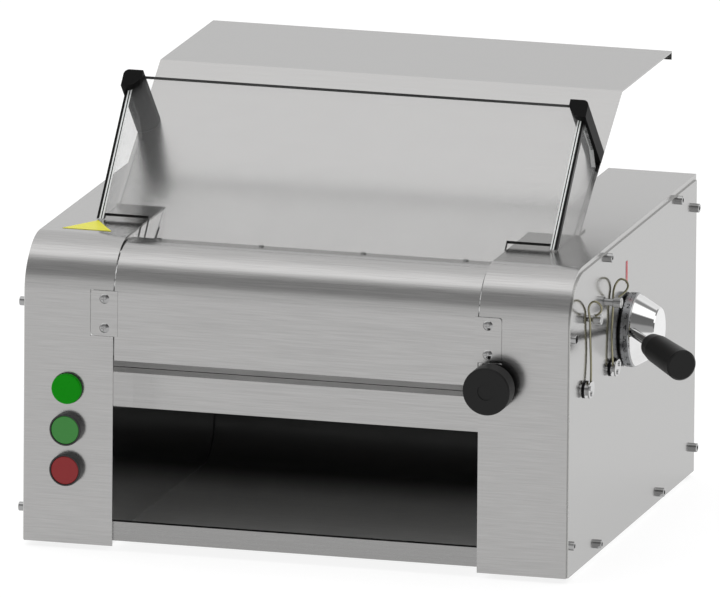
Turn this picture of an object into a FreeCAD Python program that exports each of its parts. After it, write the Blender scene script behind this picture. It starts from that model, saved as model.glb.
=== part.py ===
"""Motor-driven tabletop dough sheeter, in millimetres.

+X is the operator's right, +Y points to the back, +Z is up. Depths (d) are measured back from the
front plane of the towers while the parts are drawn; save() then moves the origin to the middle of
the footprint, on the surface that the feet stand on.
"""
import FreeCAD, Part
import math
import os

V = FreeCAD.Vector
X_AXIS = V(1, 0, 0)
Y_AXIS = V(0, 1, 0)
Z_AXIS = V(0, 0, 1)

# ---- driving dimensions: body ----
WIDTH = 520.0            # over the side panels
DEPTH = 455.0            # front plane to rear plane of the towers
TOWER_W = 86.0
FOOT_H = 5.0
TOP = 288.0              # top of the towers
SHEET = 1.5              # stainless cover sheet
FRAME_T = 5.0            # frame plates
BEND_R = 48.0            # bend between tower front and tower top
FOLD_W = 16.0            # folded outer edge that the side panel is screwed to
HALF = WIDTH / 2
GAP_HALF = HALF - TOWER_W
BASE = FOOT_H            # underside of the towers
FRAME_OUT = GAP_HALF + FRAME_T
GAP_CLEAR = 1.0          # between centre sheets and the towers
FOOT_X = GAP_HALF + 30
FOOT_D = 40.0
FOOT_HOLE_R = 3.0

# ---- front cover, rail, deflector, tray ----
COVER_FRONT = 0.5
COVER_TOP = 284.5
COVER_BEND_R = 44.0
COVER_REAR = 58.0
COVER_BOTTOM = 180.5
COVER_HALF = GAP_HALF - GAP_CLEAR
EAR_OUT = 195.5
EAR_Z = (203.0, 245.5)
EAR_GAP = 0.5
EAR_SCREWS = (210.5, 238.0)
EAR_SCREW_X = 182.5
RIVET_PITCH = 97.5
RAIL_WEB = (34.0, 200.0)         # (depth, height) of the rail's upper edge
RAIL_TOE = (51.5, 163.0)         # and of the lower edge of its sloping face
DEFLECTOR_LIP = (61.5, 160.0)
DEFLECTOR_D = 68.0
DEFLECTOR_LOW = 121.0
TRAY_Z = 10.0
LIP_TOP = 28.0
LIP_D = 2.5
SLIDE_R = 40.0
SLIDE_BACK = 345.0
SLIDE_TOP = 117.5
SHELF_D = 268.0                  # front of the motor compartment
SHELF_Z = 120.0
SLIDE_HALF = GAP_HALF - 0.5
DECK_Z = 262.0
DECK_FRONT = 200.0

# ---- chute ----
CHUTE_HALF = 222.0
CHUTE_FOOT = 172.0
CHUTE_BEND = (321.0, 393.0)
SHELF_REAR = 500.0
CHUTE_INNER_END = 137.0
FLANGE_LEN = 22.0

# ---- rollers and their drive ----
ROLLER_R = 30.0
ROLLER_HALF = 170.0
ROLLER_Z = 213.0
FRONT_ROLLER_D = 76.0
NIP_GAP = 0.4
REAR_ROLLER_D = FRONT_ROLLER_D + 2 * ROLLER_R + NIP_GAP
NIP_TRAVEL = 5.0
JOURNAL_R = 7.45
BEARING_R = 16.0
BEARING_BORE_R = 7.5
BEARING_W = 9.0
GEAR_TEETH = 20
GEAR_MODULE = 3.0
GEAR_X = (-206.0, -194.0)
PULLEY_X = (-226.0, -212.0)
ROLLER_PULLEY_R = 40.0
MOTOR_PULLEY_R = 20.0
BELT_CLEAR = 0.4
BELT_T = 4.0
MOTOR_D = 330.0
MOTOR_Z = 190.0
MOTOR_R = 50.0
GEARBOX_X = (-150.0, -30.0)
GEARBOX_HALF_D = 48.0
GEARBOX_Z = (124.0, 246.0)
SCRAPER_Z = (160.0, 168.0)       # bars that hold the scraper blades
SHAFT_R = 8.0
RUN_CLEAR = 0.08         # radial running clearance of shafts in plates

# ---- nip adjustment ----
DIAL_D = 205.6
DIAL_Z = 194.9
DIAL_R = 34.5
DIAL_X = (HALF + 1.6, HALF + 9.7)
HUB_R = (33.6, 21.5)
HUB_X = (DIAL_X[1], HALF + 30.8)
CAM_R = 29.9
CAM_TURN = 210.0         # degrees of dial travel
CAM_X = (180.5, 188.5)
CAM_CLEAR = 0.3
LEVER_ROOT = V(HALF + 16.5, 169.0, 200.0)
LEVER_DIR = V(0.630, -0.773, -0.070)
STEM_R = 4.2
STEM_START = -4.0
# (distance along the lever, radius) of the grip's outline
GRIP_OUTLINE = ((38.0, 9.6), (39.8, 11.2), (53.0, 13.2), (105.2, 14.5), (107.0, 12.9))

# ---- guard ----
GUARD_HALF = 219.5
GUARD_FOOT = V(0, 100.0, TOP)
GUARD_RUN = 106.4        # how far back the screen leans
GUARD_RISE = 114.5
GUARD_T = 5.0
WING_T = 4.0
PIVOT_T = -33.0          # pivot's place down the screen from its foot line
GUARD_LIFT = 0.7         # gap between the guard's feet and the tower tops
GUARD_ROD_R = 4.0
CLAMP_PLACES = (-120, 0, 120)
BAR_TOP = V(222.5, 201.9, 409.1)         # outer top corner of the right bar's front end
BAR_DIR = V(0, 0.711, -0.703)
BAR_UP = V(0, 0.703, 0.711)
BAR_W = 18.0
BAR_H = 18.2
BAR_GAP = 0.6            # bar ends to the chute

# ---- operator controls ----
CONTROL_X = -(HALF + GAP_HALF) / 2       # centre line of the left tower
CONTROL_PITCH = 38.0
CONTROL_Z = {"pilot": 151.7, "green": 151.7 - CONTROL_PITCH, "red": 151.7 - 2 * CONTROL_PITCH}
BEZEL_R = 15.0
BEZEL_DEPTH = 9.6
CAP_R = 13.2
CAP_OUT = 9.2
CAP_BACK = 5.4
LENS_OUT = 6.5
LENS_R = 14.2
KNOB_X = 189.0
KNOB_Z = 182.6
KNOB_R = 22.3
KNOB_D = (-29.0, -9.0)
LOCK_R = 4.0
GLAND_X = -217.0
GLAND_Z = 40.0
CABLE_R = 4.0
INDEX_D = (198.4, 203.6)
INDEX_Z = (239.7, 260.2)

# ---- scraper pins and spring clips on the right panel ----
# Each clip leans away from the other: -1 towards the front, +1 towards the back.
STUD_PLACES = {-1: (69.3, 234.7), 1: (139.5, 234.9)}
STUD_OUT = 12.0
STUD_R = 3.3
STUD_HEAD_R = 4.9
LUG_DROP = 64.0          # lug's centre line below its stud
LUG_R = 7.5
LUG_SPAN = (8.3, 14.2)   # centres of a lug's round ends, measured from its stud
POST_SHIFT = 4.4
POST_R = 2.2
WIRE_R = 1.0
# (away from the panel, away from the stud, above the stud) along a clip's wire
CLIP_WIRE = ((2.5, 1.9, -42.0), (2.1, 2.6, -25.0), (2.3, 5.2, -6.0), (2.2, 5.9, 0.0), (1.7, 8.4, 8.0),
             (2.9, 11.6, 14.5), (7.6, 12.9, 19.4), (12.6, 12.7, 17.8), (14.6, 11.6, 13.4),
             (12.4, 8.9, 8.4), (7.2, 5.2, 4.4))

# (depth, height) of the socket screws in each side panel
SIDE_SCREWS = ((7, 229), (7, 35), (104, 14.6), (327, 13), (445, 29), (444, 258), (383.5, 278.5),
               (132, 278.5))


# ---------------------------------------------------------------- helpers
def box(x, d, z):
    """Block between three (low, high) pairs."""
    return Part.makeBox(x[1] - x[0], d[1] - d[0], z[1] - z[0], V(x[0], d[0], z[0]))


def rod_x(x0, x1, d, z, r):
    return Part.makeCylinder(r, x1 - x0, V(x0, d, z), X_AXIS)


def rod_y(d0, d1, x, z, r):
    return Part.makeCylinder(r, d1 - d0, V(x, d0, z), Y_AXIS)


def rod_z(z0, z1, x, d, r):
    return Part.makeCylinder(r, z1 - z0, V(x, d, z0), Z_AXIS)


def side_profile(points, x0, x1):
    """Closed outline of (d, z) points, extruded from x0 to x1."""
    corners = [V(x0, d, z) for d, z in points]
    face = Part.Face(Part.makePolygon(corners + corners[:1]))
    return face.extrude(V(x1 - x0, 0, 0))


def hood(front, top, radius, back, bottom, x0, x1):
    """Solid with a vertical front, a rounded upper front edge, a flat top and a vertical back."""
    start = V(x0, front, top - radius)
    end = V(x0, front + radius, top)
    lean = radius * (1 - math.sqrt(0.5))
    arc = Part.Arc(start, V(x0, front + lean, top - lean), end).toShape()
    low_back = V(x0, back, bottom)
    low_front = V(x0, front, bottom)
    edges = [
        Part.makeLine(low_front, start), arc,
        Part.makeLine(end, V(x0, back, top)),
        Part.makeLine(V(x0, back, top), low_back),
        Part.makeLine(low_back, low_front),
    ]
    return Part.Face(Part.Wire(edges)).extrude(V(x1 - x0, 0, 0))


def fuse(shapes):
    return shapes[0].multiFuse(shapes[1:]).removeSplitter()


def mirror(shape):
    """The same piece on the other side of the machine."""
    return shape.mirror(V(0, 0, 0), X_AXIS)


def both_sides(shape):
    return Part.makeCompound([shape, mirror(shape)])


def save(name, shape):
    shape = shape.copy()
    shape.translate(V(0, -DEPTH / 2, 0))
    shape.exportStep("parts/%s.step" % name)


def guard_point(t, s):
    """(d, z) of a point t up the screen from its foot line and s behind its front face."""
    length = math.hypot(GUARD_RUN, GUARD_RISE)
    run, rise = GUARD_RUN / length, GUARD_RISE / length
    return (GUARD_FOOT.y + run * t + rise * s, GUARD_FOOT.z + rise * t - run * s)


def chute_depth(z):
    """Depth of the chute's upper surface at a height."""
    slope = (CHUTE_BEND[1] - TOP) / (CHUTE_BEND[0] - CHUTE_FOOT)
    return CHUTE_FOOT + (z - TOP) / slope


# ---------------------------------------------------------------- frame and covers
def frame_plate():
    """Right-hand frame plate with its bearing bore, block window and shaft holes."""
    inset = SHEET + 0.2
    plate = hood(inset, TOP - inset, BEND_R - inset, DEPTH - inset, BASE + inset, GAP_HALF, FRAME_OUT)
    wide = hood(inset, TOP - inset, BEND_R - inset, DEPTH - inset, BASE + inset, GAP_HALF, HALF)
    flange = box((GAP_HALF, GAP_HALF + 26), (inset, inset + 3), (EAR_Z[0] - 7, EAR_Z[1] + 7))
    flange = flange.common(wide)
    half_window = 16.3
    window = box((GAP_HALF - 1, FRAME_OUT + 1),
                 (REAR_ROLLER_D - half_window, REAR_ROLLER_D + half_window + NIP_TRAVEL + 0.2),
                 (ROLLER_Z - half_window, ROLLER_Z + half_window))
    pivot_d, pivot_z = guard_pivot()
    cuts = [
        window,
        rod_x(GAP_HALF - 1, FRAME_OUT + 1, FRONT_ROLLER_D, ROLLER_Z, BEARING_R + 2),
        rod_x(GAP_HALF - 1, FRAME_OUT + 1, DIAL_D, DIAL_Z, SHAFT_R + RUN_CLEAR),
        rod_x(GAP_HALF - 1, FRAME_OUT + 1, pivot_d, pivot_z, GUARD_ROD_R + RUN_CLEAR),
    ]
    cuts += [rod_y(-1, 10, EAR_SCREW_X, z, 2.5) for z in EAR_SCREWS]
    low = BASE + inset
    foot_rail = box((GAP_HALF, HALF - 4), (22, DEPTH - 22), (low, low + 2))
    cuts += [rod_z(low - 1, low + 3, FOOT_X, d, FOOT_HOLE_R) for d in (FOOT_D, DEPTH - FOOT_D)]
    return fuse([plate, flange, foot_rail]).cut(Part.makeCompound(cuts))


def left_frame_plate():
    motor_hole = rod_x(-FRAME_OUT - 1, -GAP_HALF + 1, MOTOR_D, MOTOR_Z, SHAFT_R + RUN_CLEAR)
    return mirror(frame_plate()).cut(motor_hole)


def right_frame_plate():
    """Frame plate with the welded block that the lock screw threads into."""
    block = box((FRAME_OUT, FRAME_OUT + 20), (12, 30), (KNOB_Z - 10, KNOB_Z + 10))
    return fuse([frame_plate(), block]).cut(rod_y(11, 31, KNOB_X, KNOB_Z, LOCK_R + RUN_CLEAR))


def tower_cover():
    """Right-hand tower cover: front, bend, top and back in one sheet, with a folded outer edge."""
    outer_x = HALF - SHEET
    outside = hood(0, TOP, BEND_R, DEPTH, BASE, GAP_HALF, outer_x)
    inside = hood(SHEET, TOP - SHEET, BEND_R - SHEET, DEPTH - SHEET, BASE - 1, GAP_HALF - 1, outer_x + 1)
    mid = SHEET / 2
    fold = hood(mid, TOP - mid, BEND_R - mid, DEPTH - mid, BASE, outer_x - SHEET, outer_x)
    fold_hole = hood(FOLD_W, TOP - FOLD_W, BEND_R - FOLD_W, DEPTH - FOLD_W, BASE + FOLD_W,
                     outer_x - SHEET - 1, outer_x + 1)
    ear_notch = box((GAP_HALF - 1, EAR_OUT + EAR_GAP), (-1, SHEET + 0.1),
                    (EAR_Z[0] - EAR_GAP, EAR_Z[1] + EAR_GAP))
    screws = [rod_x(HALF - 20, HALF, d, z, 2.5) for d, z in SIDE_SCREWS]
    return fuse([outside.cut(inside), fold.cut(fold_hole)]).cut(Part.makeCompound([ear_notch] + screws))


def left_tower_cover():
    holes = [rod_y(-1, SHEET + 1, CONTROL_X, z, 11.2) for z in CONTROL_Z.values()]
    gland = rod_y(DEPTH - SHEET - 1, DEPTH + 1, GLAND_X, GLAND_Z, 8)
    return mirror(tower_cover()).cut(Part.makeCompound(holes + [gland]))


def right_tower_cover():
    return tower_cover().cut(rod_y(-1, SHEET + 1, KNOB_X, KNOB_Z, LOCK_R + RUN_CLEAR))


def side_panel():
    panel = hood(3, TOP - 5, BEND_R - 3, DEPTH - 3, BASE, HALF - SHEET, HALF)
    screws = [rod_x(HALF - 3, HALF + 1, d, z, 2.5) for d, z in SIDE_SCREWS]
    return panel.cut(Part.makeCompound(screws))


def right_side_panel():
    holes = [rod_x(HALF - 3, HALF + 1, d, z, STUD_R) for d, z in STUD_PLACES.values()]
    holes.append(rod_x(HALF - 3, HALF + 1, DIAL_D, DIAL_Z, SHAFT_R + RUN_CLEAR))
    return side_panel().cut(Part.makeCompound(holes))


def socket_screw(d, z):
    """Socket-head screw into the side of the right tower."""
    head = rod_x(HALF, HALF + 5, d, z, 4.25)
    head = head.makeFillet(0.6, [e for e in head.Edges if abs(e.BoundBox.XMin - HALF - 5) < 0.01])
    hexagon = [(d + 2.3 * math.cos(math.radians(60 * k)), z + 2.3 * math.sin(math.radians(60 * k)))
               for k in range(6)]
    socket = side_profile(hexagon, HALF + 2, HALF + 6)
    return fuse([head, rod_x(HALF - 12, HALF, d, z, 2.5)]).cut(socket)


def panel_screws():
    right = [socket_screw(d, z) for d, z in SIDE_SCREWS]
    return Part.makeCompound(right + [mirror(s) for s in right])


def front_cover():
    """Bent centre cover with an ear that laps each tower's front."""
    sheet = hood(COVER_FRONT, COVER_TOP, COVER_BEND_R, COVER_REAR, COVER_BOTTOM, -COVER_HALF, COVER_HALF)
    hollow = hood(COVER_FRONT + SHEET, COVER_TOP - SHEET, COVER_BEND_R - SHEET, COVER_REAR - SHEET,
                  COVER_BOTTOM + SHEET, -COVER_HALF - 1, COVER_HALF + 1)
    open_back = box((-COVER_HALF - 1, COVER_HALF + 1), (14, COVER_REAR + 1), (COVER_BOTTOM - 1, 272))
    ear = box((COVER_HALF - 3, EAR_OUT), (0, SHEET), EAR_Z)
    outer_edges = [e for e in ear.Edges
                   if abs(e.BoundBox.XMin - EAR_OUT) < 0.01 and e.BoundBox.YLength > 1]
    ear = ear.makeFillet(3, outer_edges)
    screws = [rod_y(-1, 3, EAR_SCREW_X, z, 2.5) for z in EAR_SCREWS]
    ear = ear.cut(Part.makeCompound(screws))
    return fuse([sheet.cut(hollow).cut(open_back), ear, mirror(ear)])


def cross_screw(z):
    """Raised cross-recess head on the right ear."""
    dome = Part.makeSphere(6.0, V(EAR_SCREW_X, 3.7, z))
    head = rod_y(-2.3, 0, EAR_SCREW_X, z, 4.7).common(dome)
    bars = [box((EAR_SCREW_X - 2.4, EAR_SCREW_X + 2.4), (-3, -1.2), (z - 0.45, z + 0.45)),
            box((EAR_SCREW_X - 0.45, EAR_SCREW_X + 0.45), (-3, -1.2), (z - 2.4, z + 2.4))]
    return fuse([head, rod_y(0, 12, EAR_SCREW_X, z, 2.5)]).cut(Part.makeCompound(bars))


def cover_screws():
    right = [cross_screw(z) for z in EAR_SCREWS]
    return Part.makeCompound(right + [mirror(s) for s in right])


def cover_rivets():
    places = [RIVET_PITCH * (k - 1.5) for k in range(4)]
    return Part.makeCompound([rod_z(COVER_TOP, COVER_TOP + 1, x, COVER_REAR - 3, 2.5) for x in places])


def cover_rail():
    """Bent strip behind the cover's lower edge; its sloping face ends just above the deflector."""
    web_d, high = RAIL_WEB
    toe_d, low = RAIL_TOE
    knee = low + toe_d - web_d
    points = [(web_d, high), (web_d, knee), (toe_d, low), (toe_d + SHEET, low + SHEET),
              (web_d + SHEET, knee + SHEET), (web_d + SHEET, high)]
    return side_profile(points, -GAP_HALF, GAP_HALF)


def outlet_deflector():
    """Upright plate that keeps fingers from the rollers, with a sloping lip on top and a fold below."""
    lip_d, top = DEFLECTOR_LIP
    knee = top - (DEFLECTOR_D - lip_d)
    rear = DEFLECTOR_D + SHEET
    fold_end = DEFLECTOR_D + 12
    points = [(lip_d, top), (DEFLECTOR_D, knee), (DEFLECTOR_D, DEFLECTOR_LOW), (fold_end, DEFLECTOR_LOW),
              (fold_end, DEFLECTOR_LOW + SHEET), (rear, DEFLECTOR_LOW + SHEET), (rear, knee + 0.6),
              (lip_d + 1.1, top + 1.1)]
    return side_profile(points, -GAP_HALF, GAP_HALF)


def base_tray():
    """Floor sheet with an upright front lip, folded inwards along its top."""
    rear = SLIDE_BACK - SLIDE_R
    points = [(LIP_D, TRAY_Z), (LIP_D, LIP_TOP), (LIP_D + 7, LIP_TOP), (LIP_D + 7, LIP_TOP - SHEET),
              (LIP_D + SHEET, LIP_TOP - SHEET), (LIP_D + SHEET, TRAY_Z + SHEET), (rear, TRAY_Z + SHEET),
              (rear, TRAY_Z)]
    return side_profile(points, -GAP_HALF, GAP_HALF)


def outlet_slide():
    """Sheet that the dough slides out on; at the back it curves up to the motor shelf."""
    floor = TRAY_Z + SHEET
    centre = V(-SLIDE_HALF, SLIDE_BACK - SLIDE_R, floor + SLIDE_R)

    def outline(radius):
        bottom = centre - Z_AXIS * radius
        rear = centre + Y_AXIS * radius
        front = V(-SLIDE_HALF, LIP_D + 8, bottom.z)
        top = V(-SLIDE_HALF, rear.y, SLIDE_TOP)
        mid = centre + (Y_AXIS - Z_AXIS) * (radius * math.sqrt(0.5))
        return front, bottom, mid, rear, top

    low = outline(SLIDE_R)
    high = outline(SLIDE_R - SHEET)
    edges = [Part.makeLine(low[0], low[1]), Part.Arc(low[1], low[2], low[3]).toShape(),
             Part.makeLine(low[3], low[4]), Part.makeLine(low[4], high[4]),
             Part.makeLine(high[4], high[3]),
             Part.Arc(high[3], high[2], high[1]).toShape(), Part.makeLine(high[1], high[0]),
             Part.makeLine(high[0], low[0])]
    return Part.Face(Part.Wire(edges)).extrude(V(2 * SLIDE_HALF, 0, 0))


def rear_cover():
    """Deck between the towers behind the chute, bent down to close the back."""
    points = [(DECK_FRONT, DECK_Z - 12), (DECK_FRONT, DECK_Z), (DEPTH - 1, DECK_Z), (DEPTH - 1, TRAY_Z),
              (DEPTH - 1 - SHEET, TRAY_Z), (DEPTH - 1 - SHEET, DECK_Z - SHEET),
              (DECK_FRONT + SHEET, DECK_Z - SHEET), (DECK_FRONT + SHEET, DECK_Z - 12)]
    return side_profile(points, -GAP_HALF, GAP_HALF)


def feed_chute():
    """Shelf and sloping chute in one bent sheet; between the towers it reaches down to the rollers."""
    bend_d, bend_z = CHUTE_BEND
    drop = 1.9              # vertical thickness of the sloping sheet
    foot = chute_depth(TOP)
    wide = [(SHELF_REAR, bend_z), (bend_d, bend_z), (foot, TOP), (foot + FLANGE_LEN, TOP),
            (foot + FLANGE_LEN, TOP + SHEET), (chute_depth(TOP + SHEET) + 3, TOP + SHEET),
            (bend_d + 0.5, bend_z - drop + 0.4), (SHELF_REAR - SHEET, bend_z - SHEET),
            (SHELF_REAR - SHEET, bend_z - 8), (SHELF_REAR, bend_z - 8)]
    end_z = TOP - (CHUTE_FOOT - CHUTE_INNER_END) * (bend_z - TOP) / (bend_d - CHUTE_FOOT)
    inner = [(chute_depth(TOP + 6), TOP + 6), (CHUTE_INNER_END, end_z), (CHUTE_INNER_END, end_z - drop),
             (chute_depth(TOP + 6), TOP + 6 - drop)]
    holes = [rod_z(TOP - 1, TOP + 3, x, foot + 15, 2.1) for x in chute_screw_places()]
    sheet = fuse([side_profile(wide, -CHUTE_HALF, CHUTE_HALF),
                  side_profile(inner, -COVER_HALF, COVER_HALF)])
    flange_gap = box((-GAP_HALF, GAP_HALF), (foot + 5, foot + FLANGE_LEN + 1),
                     (TOP - 1, TOP + SHEET + 0.01))
    return sheet.cut(Part.makeCompound([flange_gap] + holes))


def chute_screw_places():
    return (-206, -186, 186, 206)


def chute_screws():
    depth = chute_depth(TOP) + 15
    under = TOP + SHEET
    screws = [fuse([rod_z(under, under + 2.5, x, depth, 4), rod_z(TOP, under, x, depth, 2)])
              for x in chute_screw_places()]
    return Part.makeCompound(screws)


def rubber_feet():
    """Feet with a through hole each, so that the machine can be bolted to a bench."""
    height = FOOT_H + SHEET + 0.2
    feet = [Part.makeCone(10, 12, height, V(x, d, 0)).cut(rod_z(-1, height + 1, x, d, FOOT_HOLE_R))
            for x, d in foot_places()]
    return Part.makeCompound(feet)


def foot_places():
    return [(x, d) for x in (-FOOT_X, FOOT_X) for d in (FOOT_D, DEPTH - FOOT_D)]


# ---------------------------------------------------------------- rollers and drive
def gear_outline(teeth, module, backlash):
    """Straight-flank gear outline of (d, z) points about the origin, first tooth on +d."""
    pitch_r = teeth * module / 2
    half = math.pi * module / 4 - backlash / 2
    radii = (pitch_r - 1.2 * module, pitch_r + 0.8 * module)
    lean = math.tan(math.radians(20))
    points = []
    for k in range(teeth):
        centre = 2 * math.pi * k / teeth
        for side, order in ((-1, radii), (1, radii[::-1])):
            for r in order:
                angle = centre + side * (half - (r - pitch_r) * lean) / pitch_r
                points.append((r * math.cos(angle), r * math.sin(angle)))
    return points


def roller_gear(d, phase):
    """Gear on a roller's left journal, turned by a share of one tooth."""
    turn = phase * 360 / GEAR_TEETH
    shape = side_profile(gear_outline(GEAR_TEETH, GEAR_MODULE, 1.2), GEAR_X[0], GEAR_X[1])
    shape.rotate(V(0, 0, 0), X_AXIS, turn)
    shape.translate(V(0, d, ROLLER_Z))
    return shape.cut(rod_x(GEAR_X[0] - 1, GEAR_X[1] + 1, d, ROLLER_Z, JOURNAL_R))


def roller(d, left_end):
    barrel = rod_x(-ROLLER_HALF, ROLLER_HALF, d, ROLLER_Z, ROLLER_R)
    journals = rod_x(left_end, FRAME_OUT + 11, d, ROLLER_Z, JOURNAL_R)
    return fuse([barrel, journals])


def ring_x(x0, x1, d, z, outer, inner):
    return rod_x(x0, x1, d, z, outer).cut(rod_x(x0 - 1, x1 + 1, d, z, inner))


def bearing_pair(d):
    x0 = FRAME_OUT + 0.9
    return both_sides(ring_x(x0, x0 + BEARING_W, d, ROLLER_Z, BEARING_R, BEARING_BORE_R))


def bearing_housings():
    x0 = FRAME_OUT
    return both_sides(ring_x(x0, x0 + 10, FRONT_ROLLER_D, ROLLER_Z, BEARING_R + 8, BEARING_R))


def bearing_blocks():
    """Sliding blocks of the rear roller, each with an arm that follows a cam."""
    d = REAR_ROLLER_D
    wide = (FRAME_OUT + 0.4, FRAME_OUT + 10)
    guide = box((GAP_HALF + 0.3, FRAME_OUT + 0.4), (d - 16, d + 16), (ROLLER_Z - 16, ROLLER_Z + 16))
    body = box(wide, (d - 22, d + 22), (ROLLER_Z - 23, ROLLER_Z + 23))
    arm = box(wide, (d + 20, DIAL_D - CAM_R - CAM_CLEAR), (DIAL_Z - 6, DIAL_Z + 12))
    shape = fuse([guide, body, arm])
    seat = rod_x(FRAME_OUT + 0.9, FRAME_OUT + 11, d, ROLLER_Z, BEARING_R)
    bore = rod_x(GAP_HALF - 1, FRAME_OUT + 11, d, ROLLER_Z, 9)
    return both_sides(shape.cut(Part.makeCompound([seat, bore])))


def roller_pulley():
    disc = rod_x(PULLEY_X[0], PULLEY_X[1], FRONT_ROLLER_D, ROLLER_Z, ROLLER_PULLEY_R)
    recess = ring_x(PULLEY_X[0] - 1, PULLEY_X[0] + 5, FRONT_ROLLER_D, ROLLER_Z, 33, 14)
    bore = rod_x(PULLEY_X[0] - 1, PULLEY_X[1] + 1, FRONT_ROLLER_D, ROLLER_Z, JOURNAL_R)
    return disc.cut(Part.makeCompound([recess, bore]))


def motor_pulley():
    """Motor pulley, made in one piece with the gearbox's output shaft."""
    shaft = rod_x(PULLEY_X[0] - 2, -150.5, MOTOR_D, MOTOR_Z, SHAFT_R)
    return fuse([rod_x(PULLEY_X[0], PULLEY_X[1], MOTOR_D, MOTOR_Z, MOTOR_PULLEY_R), shaft])


def belt_loop(extra, x0, x1):
    """Solid inside the loop of a belt that runs round both pulleys, grown by extra."""
    big, small = ROLLER_PULLEY_R + extra, MOTOR_PULLEY_R + extra
    span = math.hypot(MOTOR_D - FRONT_ROLLER_D, MOTOR_Z - ROLLER_Z)
    direction = math.atan2(MOTOR_Z - ROLLER_Z, MOTOR_D - FRONT_ROLLER_D)
    wrap = math.acos((big - small) / span)

    def place(centre, radius, angle):
        return V(x0, centre[0] + radius * math.cos(angle), centre[1] + radius * math.sin(angle))

    front, rear = (FRONT_ROLLER_D, ROLLER_Z), (MOTOR_D, MOTOR_Z)
    up, down = direction + wrap, direction - wrap
    edges = [
        Part.Arc(place(front, big, up), place(front, big, direction + math.pi),
                 place(front, big, down)).toShape(),
        Part.makeLine(place(front, big, down), place(rear, small, down)),
        Part.Arc(place(rear, small, down), place(rear, small, direction),
                 place(rear, small, up)).toShape(),
        Part.makeLine(place(rear, small, up), place(front, big, up)),
    ]
    return Part.Face(Part.Wire(edges)).extrude(V(x1 - x0, 0, 0))


def drive_belt():
    x0, x1 = PULLEY_X[0] + 1, PULLEY_X[1] - 1
    return belt_loop(BELT_CLEAR + BELT_T, x0, x1).cut(belt_loop(BELT_CLEAR, x0 - 1, x1 + 1))


def gearbox():
    """Case with a round boss on the output side, where the pulley's shaft comes out."""
    left = GEARBOX_X[0]
    case = box(GEARBOX_X, (MOTOR_D - GEARBOX_HALF_D, MOTOR_D + GEARBOX_HALF_D), GEARBOX_Z)
    case = case.makeFillet(8, [e for e in case.Edges if e.BoundBox.XLength > 100])
    boss = rod_x(left - 6, left, MOTOR_D, MOTOR_Z, 26)
    return fuse([case, boss]).cut(rod_x(left - 7, left + 15, MOTOR_D, MOTOR_Z, SHAFT_R + 4))


def motor():
    """Round body with cooling grooves, and a fan cover."""
    left = GEARBOX_X[1]
    groove_r = MOTOR_R - 4
    body = rod_x(left, left + 160, MOTOR_D, MOTOR_Z, MOTOR_R)
    fins = [ring_x(left + x, left + x + 4, MOTOR_D, MOTOR_Z, MOTOR_R + 1, groove_r)
            for x in range(20, 130, 10)]
    cover = rod_x(left + 160, left + 185, MOTOR_D, MOTOR_Z, groove_r)
    return fuse([body.cut(Part.makeCompound(fins)), cover])


def motor_shelf():
    """Shelf under the gearbox, with side flanges and a front wall that keeps flour off the drive."""
    depths = (SHELF_D, DEPTH - 20)
    shelf = box((-GAP_HALF, GAP_HALF), depths, (SHELF_Z, SHELF_Z + 4))
    flange = box((GAP_HALF - 3, GAP_HALF), depths, (SHELF_Z, SHELF_Z + 20))
    wall = box((-GAP_HALF, GAP_HALF), (SHELF_D, SHELF_D + SHEET), (SHELF_Z, DECK_Z - 4))
    return fuse([shelf, wall, flange, mirror(flange)])


def scrapers():
    """Blade and bar under each roller, just clear of its surface."""
    blades = []
    for centre, side in ((FRONT_ROLLER_D, 1), (REAR_ROLLER_D, -1)):
        angle = math.radians(-50)
        tip_d = centre + side * (ROLLER_R + 0.5) * math.cos(angle)
        tip_z = ROLLER_Z + (ROLLER_R + 0.5) * math.sin(angle)
        root_d = tip_d - side * 4
        points = [(tip_d, tip_z), (root_d - side, SCRAPER_Z[1]), (root_d, SCRAPER_Z[1]),
                  (tip_d + side * 0.6, tip_z - 1)]
        blade = side_profile(points, -ROLLER_HALF + 2, ROLLER_HALF - 2)
        bar = box((-GAP_HALF, GAP_HALF), (root_d - 6, root_d + 6), SCRAPER_Z)
        blades.append(fuse([blade, bar]))
    return Part.makeCompound(blades)


# ---------------------------------------------------------------- nip adjustment
def adjuster_shaft():
    return rod_x(-192, HALF + 26, DIAL_D, DIAL_Z, SHAFT_R)


def adjuster_cams():
    """Spiral cams: the radius facing the blocks shrinks evenly as the dial is turned."""
    steps = 70
    points = []
    for k in range(steps + 1):
        turned = CAM_TURN * k / steps
        radius = CAM_R - NIP_TRAVEL * turned / CAM_TURN
        angle = math.radians(180 + turned)
        points.append((DIAL_D + radius * math.cos(angle), DIAL_Z + radius * math.sin(angle)))
    low_r = CAM_R - NIP_TRAVEL
    for k in range(1, 16):
        turned = CAM_TURN + (360 - CAM_TURN) * k / 16
        radius = low_r + NIP_TRAVEL * (k / 16) ** 2
        angle = math.radians(180 + turned)
        points.append((DIAL_D + radius * math.cos(angle), DIAL_Z + radius * math.sin(angle)))
    disc = side_profile(points, CAM_X[0], CAM_X[1])
    return both_sides(disc.cut(rod_x(CAM_X[0] - 1, CAM_X[1] + 1, DIAL_D, DIAL_Z, SHAFT_R)))


def dial_flange():
    """Dark washer between the panel and the dial."""
    return ring_x(HALF, HALF + 1.2, DIAL_D, DIAL_Z, 31, SHAFT_R + RUN_CLEAR)


def thickness_dial():
    """Graduated ring, bored for the shaft and the lever's stem."""
    ring = rod_x(DIAL_X[0], DIAL_X[1], DIAL_D, DIAL_Z, DIAL_R)
    rims = [e for e in ring.Edges if e.BoundBox.YLength > DIAL_R and e.BoundBox.XLength < 0.1]
    ring = ring.makeChamfer(0.5, rims)
    bore = rod_x(HALF, DIAL_X[1] + 1, DIAL_D, DIAL_Z, SHAFT_R)
    return ring.cut(Part.makeCompound([bore, lever_stem()]))


def lever_shift(t):
    return LEVER_ROOT + LEVER_DIR * t


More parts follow.
